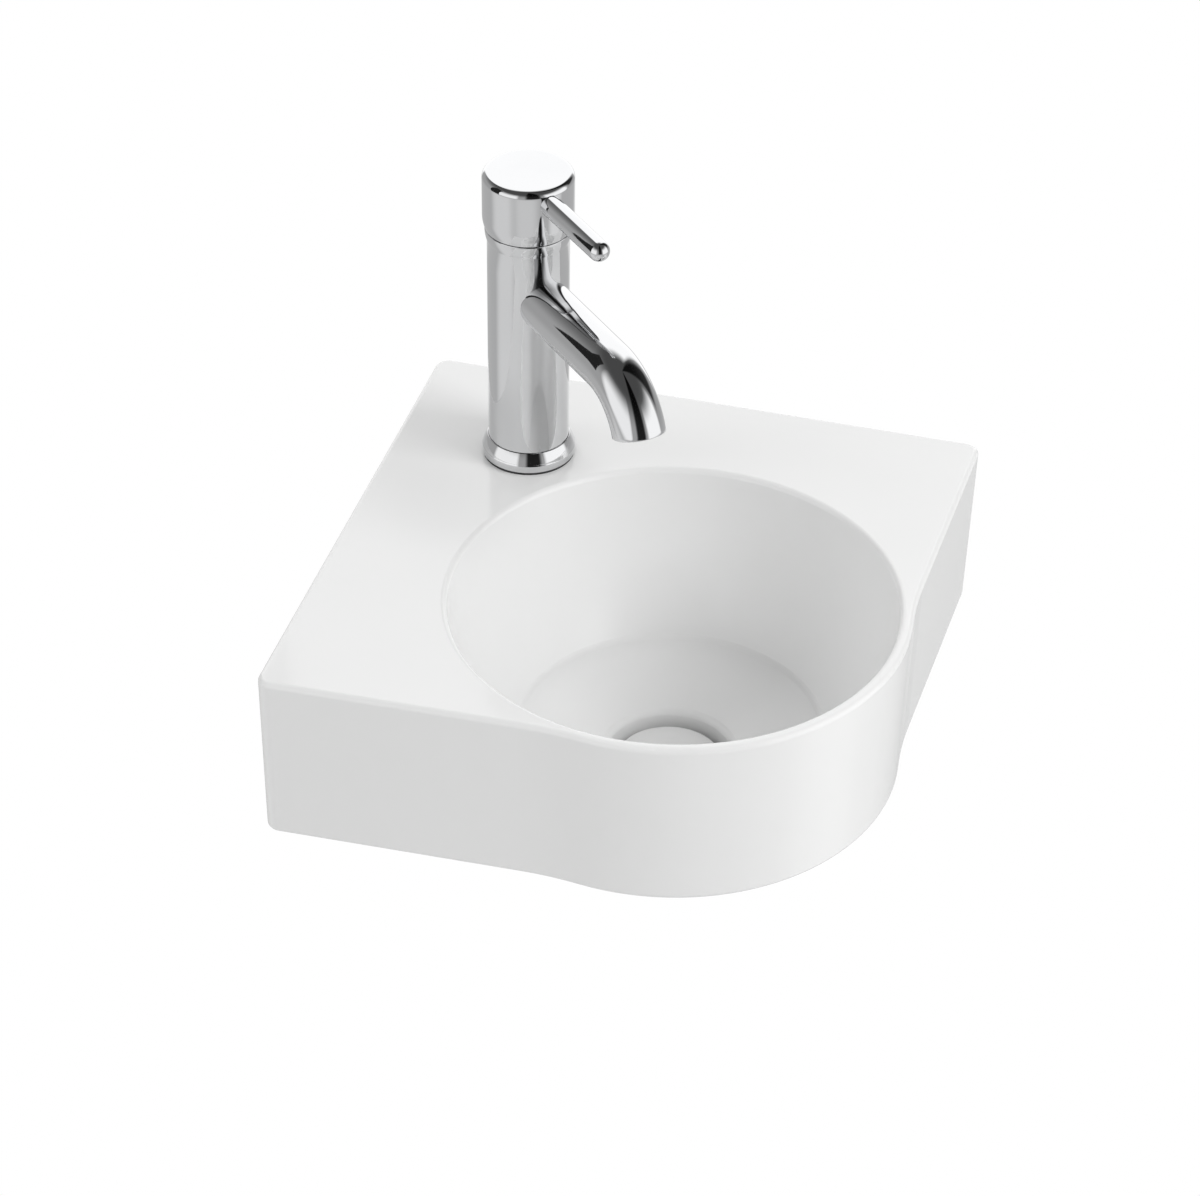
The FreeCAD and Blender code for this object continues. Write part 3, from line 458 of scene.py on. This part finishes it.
def tap_body():
    """The mixer's body, with its seats, spout hole and ports."""
    hollow, hollow_roof = 17.0, 23.5
    flare_start, flare_end = 138.3, 145.5
    nut_seat, nut_seat_floor = 16.45, 131.2
    cartridge_seat, cartridge_floor = 14.1, 122.0
    body = start_outline("tap_body_chrome", 0, hollow_roof)
    line_to(body, hollow, hollow_roof)
    line_to(body, hollow, BODY_FOOT)
    corner_to(body, BODY_RADIUS, BODY_FOOT, (BODY_RADIUS, flare_start), 0.3)
    for level in (12.5, 50.0, 88.0, 92.0, 121.0, 125.0, flare_start):
        line_to(body, BODY_RADIUS, level)
    arc_to(body, SEAM_RADIUS, flare_end, -0.315, 10)
    corner_to(body, SEAM_RADIUS, BODY_TOP, (nut_seat, BODY_TOP), 0.45)
    line_to(body, nut_seat, BODY_TOP)
    line_to(body, nut_seat, nut_seat_floor)
    line_to(body, cartridge_seat, nut_seat_floor)
    line_to(body, cartridge_seat, cartridge_floor)
    line_to(body, 0, cartridge_floor)
    turn_round(body, 128)
    cut(body, rod("spout_bore", WATERWAY_RADIUS, 2.0, 24.0, SPOUT_LEVEL))
    cut(body, rod("spout_spigot_seat", 13.0, 12.5, 24.0, SPOUT_LEVEL))
    for side in (-8.2, 8.2):
        cut(body, post("inlet", 4.46, 22.5, 35.5, -5.0, side, 32))
        cut(body, post("channel", 4.2, 35.0, 111.0, -5.0, side, 32))
    for side in (-5.2, 5.2):
        cut(body, post("port", 2.2, 110.0, 123.0, -4.0, side, 24))
    cut(body, post("outlet_port", 2.6, 106.5, 123.0, 5.6, 0, 24))
    cut(body, post("stud_hole", 4.05, 22.5, 37.5, 10.0, 0, 32))
    set_in_place(body, "tap_body", "basin_unit", "chrome")


def base_ring():
    """The flared ring round the foot of the body."""
    inner, outer = 22.6, 26.0
    collar = start_outline("base_ring_chrome", inner, BODY_FOOT)
    corner_to(collar, outer, BODY_FOOT, (outer, 5.5), 0.3)
    corner_to(collar, outer, 5.5, (24.9, 7.6), 0.9)
    arc_to(collar, 23.05, 12.35, -0.25, 10)
    arc_to(collar, inner, 12.5, 0.1, 4)
    line_to(collar, inner, BODY_FOOT)
    turn_round(collar, 128)
    set_in_place(collar, "base_ring", "basin_unit", "chrome")


def spout_tube(name, radius, start, straight_steps=10, turn_steps=28):
    """A closed tube along the spout's line: level, then bent down."""
    nothing_selected()
    bpy.ops.mesh.primitive_circle_add(
        vertices=72, radius=radius * MM, fill_type="NGON",
        location=(start * MM, 0, SPOUT_LEVEL * MM), rotation=(0, math.radians(90), 0))
    tube = named(name)
    bpy.ops.object.mode_set(mode="EDIT")
    bpy.ops.mesh.select_all(action="SELECT")
    step = (SPOUT_STRAIGHT - start) * MM / straight_steps
    for _ in range(straight_steps):
        bpy.ops.mesh.extrude_region_move(TRANSFORM_OT_translate={"value": (step, 0, 0)})
    bpy.ops.mesh.spin(steps=turn_steps, angle=-OUTLET_TURN, axis=(0, 1, 0),
                      center=(SPOUT_STRAIGHT * MM, 0, (SPOUT_LEVEL - SPOUT_BEND) * MM))
    close_skin()
    return tube


def aerator_socket():
    """The round socket that is bored up into the spout's outlet."""
    depth, length = 10.9, 12.9
    lean = OUTLET_TURN - math.radians(90.0)
    inward = Vector((math.sin(lean), 0, math.cos(lean)))
    outlet = Vector((OUTLET_FORWARD * MM, 0, OUTLET_LEVEL * MM))
    nothing_selected()
    bpy.ops.mesh.primitive_cylinder_add(
        vertices=72, radius=12.05 * MM, depth=length * MM,
        location=outlet + inward * (depth - length / 2) * MM, rotation=(0, lean, 0))
    return named("aerator_socket")


def spout():
    """The spout with its wall, its spigot and the aerator's socket."""
    body = spout_tube("spout_chrome", SPOUT_RADIUS, 14.0)
    soften_rim(body, 0.5)
    cut(body, post("body_side", BODY_RADIUS, 80.0, 130.0, steps=256))
    join(body, rod("spigot", 12.9, 12.5, 30.0, SPOUT_LEVEL, steps=72))
    cut(body, spout_tube("waterway", WATERWAY_RADIUS, 10.0), aerator_socket())
    set_in_place(body, "spout", "basin_unit", "chrome")


def lever_cap():
    """The turning cap: hollow, with its boss, and cut back so that it can tilt."""
    skin, roof = 22.2, 176.0
    flare_start, flare_end = 154.0, 146.8
    cap = start_outline("lever_cap_chrome", 0, CAP_TOP)
    line_to(cap, 12.0, CAP_TOP)
    corner_to(cap, CAP_RADIUS, CAP_TOP, (CAP_RADIUS, flare_start), 4.0, 12)
    line_to(cap, CAP_RADIUS, 165.0)
    line_to(cap, CAP_RADIUS, flare_start)
    arc_to(cap, SEAM_RADIUS, flare_end, 0.315, 10)
    corner_to(cap, SEAM_RADIUS, CAP_FOOT, (skin, CAP_FOOT), 0.45)
    line_to(cap, skin, CAP_FOOT)
    line_to(cap, skin, roof)
    line_to(cap, 0, roof)
    turn_round(cap, 128)
    join(cap, post("boss", 8.0, 163.0, 177.0, -STEM_BEHIND), rod("arms", 5.5, -23.0, 23.0, LEVER_LEVEL))

    stem_side, stem_foot, stem_top = 7.2, 162.0, 174.7
    nothing_selected()
    bpy.ops.mesh.primitive_cube_add(
        size=1.0, location=(-STEM_BEHIND * MM, 0, (stem_foot + stem_top) / 2 * MM),
        scale=(stem_side * MM, stem_side * MM, (stem_top - stem_foot) * MM))
    cut(cap, named("stem_socket"))
    cut(cap, rod("lever_thread", 3.05, 0.6, 26.0, LEVER_LEVEL, steps=32))
    cut(cap, rod("grub_hole", 2.55, -26.0, -6.6, LEVER_LEVEL, steps=32))
    cut(cap, rod("button_seat", 3.45, -26.0, -22.8, LEVER_LEVEL, steps=48))

    only(cap)
    bpy.ops.object.mode_set(mode="EDIT")
    bpy.ops.mesh.select_all(action="SELECT")
    tilt_room = math.radians(16.0)
    bpy.ops.mesh.bisect(
        plane_co=(-STEM_BEHIND * MM, 0, CAP_FOOT * MM), plane_no=(math.sin(tilt_room), 0, math.cos(tilt_room)),
        use_fill=True, clear_inner=True, threshold=0.001 * MM)
    close_skin()
    set_in_place(cap, "lever_cap", "lever", "chrome")


def lever_rod():
    """The pin lever, its round tip and its threaded root."""
    pin = start_outline("lever_rod_chrome", 0, 22.0)
    line_to(pin, LEVER_ROOT, 22.0)
    line_to(pin, LEVER_ROOT, 26.0)
    line_to(pin, LEVER_TIP, LEVER_REACH - LEVER_TIP, 8)
    arc_to(pin, 0, LEVER_REACH, -LEVER_TIP * (1 - math.sqrt(0.5)), 14)
    turn_round(pin, 72)
    thread = start_outline("thread", 0, 1.5)
    corner_to(thread, THREAD_RADIUS, 1.5, (THREAD_RADIUS, 30.0), 0.5)
    line_to(thread, THREAD_RADIUS, 30.0)
    line_to(thread, 0, 30.0)
    turn_round(thread, 64)
    for part in (pin, thread):
        part.rotation_euler = (0, math.radians(90), 0)
        part.location = (0, 0, LEVER_LEVEL * MM)
        only(part)
        bpy.ops.object.transform_apply(location=True, rotation=True, scale=True)
    cut(pin, post("cap_side", CAP_RADIUS + 0.05, 160.0, 185.0, steps=256))
    join(pin, thread)
    set_in_place(pin, "lever_rod", "lever", "chrome")


def plug_cap():
    """The domed plug with the socket for its plunger."""
    underside, socket_roof, edge, edge_top = -111.7, -110.1, 30.0, -110.1
    plug = start_outline("plug_cap_glazed", 0, socket_roof)
    line_to(plug, 4.55, socket_roof)
    line_to(plug, 4.55, underside)
    line_to(plug, 20.0, underside)
    corner_to(plug, 29.0, underside, (edge, edge_top), 0.4)
    corner_to(plug, edge, edge_top, (25.0, -109.28), 0.8)
    arc_to(plug, 0, -107.5, -0.52, 24)
    turn_round(plug, 128)
    set_in_place(plug, "plug_cap", "plug", "white_glaze", at_tap=False)


for make in (tap_body, base_ring, spout, lever_cap, lever_rod, plug_cap):
    make()


# ---- floor, light and camera ----

# metres
FLOOR_LEVEL = -0.85
ABOVE_DECK = 0.08
LAMP_TARGET = (0.15, -0.15, 0)
LAMP_SIZE = 1.2

EYE = "Is Camera Ray"
MIRROR = "Is Glossy Ray"
GLASS = "Is Transmission Ray"


def studio_look(shader, way):
    """What bright metal sees of the studio: three tall soft boxes, dark gaps and a grey floor."""
    x, y, z = shader.apart(way)
    above_zero = 0.0001
    level = shader.across(x, y) + above_zero

    def strip(turn, half, soft):
        """1 in an upright strip of this direction and half width, in degrees."""
        turn, half, soft = math.radians(turn), math.radians(half), math.radians(soft)
        toward = (x * math.cos(turn) + y * math.sin(turn)).math("DIVIDE", level)
        return shader.ramp(toward, math.cos(half + soft), math.cos(half - soft))

    def rise(start, end):
        return shader.ramp(z, start, end)

    wall = 0.53 - rise(-0.45, -0.05) * 0.10 - rise(0.15, 0.85) * 0.35
    floor_shine = strip(-4, 12, 10) * 0.34 + strip(-142, 24, 14) * 0.26 + strip(-80, 22, 16) * 0.20
    floor_shine = (floor_shine + strip(98, 16, 10) * 0.26) * (1 - rise(-0.45, -0.2))
    right_box = strip(-3, 32, 7) * rise(-0.42, -0.12) * (1 - rise(0.30, 0.80)) * 1.25
    left_box = strip(-130, 32, 7) * rise(-0.42, -0.12) * (1 - rise(0.22, 0.85)) * 1.12
    back_box = strip(104, 32, 5) * rise(-0.42, -0.2) * (1 - rise(0.72, 0.98)) * 1.33
    bright = (wall + floor_shine).either(right_box).either(left_box).either(back_box)
    front_gap = strip(-62, 17, 5) * rise(-0.24, -0.10) * 0.96
    back_gap = strip(51, 14, 5) * rise(-0.05, 0.22) * 0.92
    return bright * (1 - front_gap) * (1 - back_gap)


def floor():
    """White to the eye, and grey in metal, which sees it from just above the deck."""
    bpy.ops.mesh.primitive_plane_add(size=12.0, location=(0, 0, FLOOR_LEVEL))
    ground = bpy.context.object
    ground.name = "floor"
    shader = new_material("floor_white")
    shader.set(Base_Color=grey(0.85), Roughness=0.9)
    tap = (TAP_TO_WALL * MM, -TAP_TO_WALL * MM, ABOVE_DECK - FLOOR_LEVEL)
    from_tap = shader.node("ShaderNodeVectorMath", {"operation": "SUBTRACT"}, [shader.place(), tap])
    way = shader.node("ShaderNodeVectorMath", {"operation": "NORMALIZE"}, [from_tap])
    mirrored = shader.ray(MIRROR)
    look = 1 - mirrored + mirrored * studio_look(shader, way)
    glow = shader.node("ShaderNodeEmission", values={"Color": grey(1), "Strength": look})
    lit = Val(shader, shader.surface().outputs[0])
    shader.link_surface(shader.node("ShaderNodeMixShader", values=[shader.ray(EYE, MIRROR, GLASS), lit, glow]))
    ground.data.materials.append(shader.owner)


def sky():
    """White to the eye, the studio in metal, and as light a room with a darker ceiling."""
    world = bpy.data.worlds.new("studio")
    bpy.context.scene.world = world
    room = Shader(world)
    way = room.node("ShaderNodeTexCoord", output=0)
    light = 0.81 - room.ramp(room.apart(way)[2], 0.78, 0.95) * 0.72
    mirrored = room.ray(MIRROR)
    eye = room.ray(EYE, GLASS).both(1 - mirrored)
    lighting = 1 - room.ray(EYE, MIRROR, GLASS)
    background = room.tree.nodes["Background"]
    room.feed(background.inputs["Color"], grey(1))
    room.feed(background.inputs["Strength"], eye + mirrored * studio_look(room, way) + lighting * light)


def lamp(name, place, power):
    """A square soft lamp that metal doesn't mirror."""
    bpy.ops.object.light_add(type="AREA", location=place)
    light = bpy.context.object
    light.name = name
    light.data.shape = "RECTANGLE"
    light.data.size = light.data.size_y = LAMP_SIZE
    light.data.energy = power
    light.rotation_euler = (Vector(LAMP_TARGET) - Vector(place)).to_track_quat("-Z", "Y").to_euler()
    light.visible_glossy = False


def card(name, place, target, size, level):
    """A studio card that only shows in bright metal."""
    bpy.ops.mesh.primitive_plane_add(size=1.0, location=place)
    sheet = bpy.context.object
    sheet.scale = (size[0], size[1], 1)
    sheet.rotation_euler = (Vector(target) - Vector(place)).to_track_quat("Z", "Y").to_euler()
    named(name)
    shader = new_material(name)
    shader.link_surface(shader.node("ShaderNodeEmission", values={"Color": grey(level)}))
    sheet.data.materials.append(shader.owner)
    sheet.visible_camera = False
    sheet.visible_diffuse = False
    sheet.visible_shadow = False
    sheet.visible_transmission = False


floor()
sky()

lamp("key", (2.2, -0.5, 1.6), 34)
lamp("left_fill", (-2.2, -0.8, 1.2), 10)
lamp("back_fill", (-1.4, 1.6, 1.6), 10)

# a small dark flag to the spout's left, which only the spout's far half mirrors
card("left_flag", (-0.06, -0.150, 0.220), (0.10, -0.150, 0.220), (0.074, 0.17), 0.02)

bpy.ops.object.camera_add(location=(0.56787, -1.74405, 1.19429),
                          rotation=[math.radians(angle) for angle in (53.2445, -0.5741, 15.4953)])
camera = bpy.context.object
camera.name = "camera"
camera.data.sensor_width = 36.0
camera.data.lens = 112.633
camera.data.clip_end = 50.0
bpy.context.scene.camera = camera
bpy.context.scene.view_settings.view_transform = "Standard"
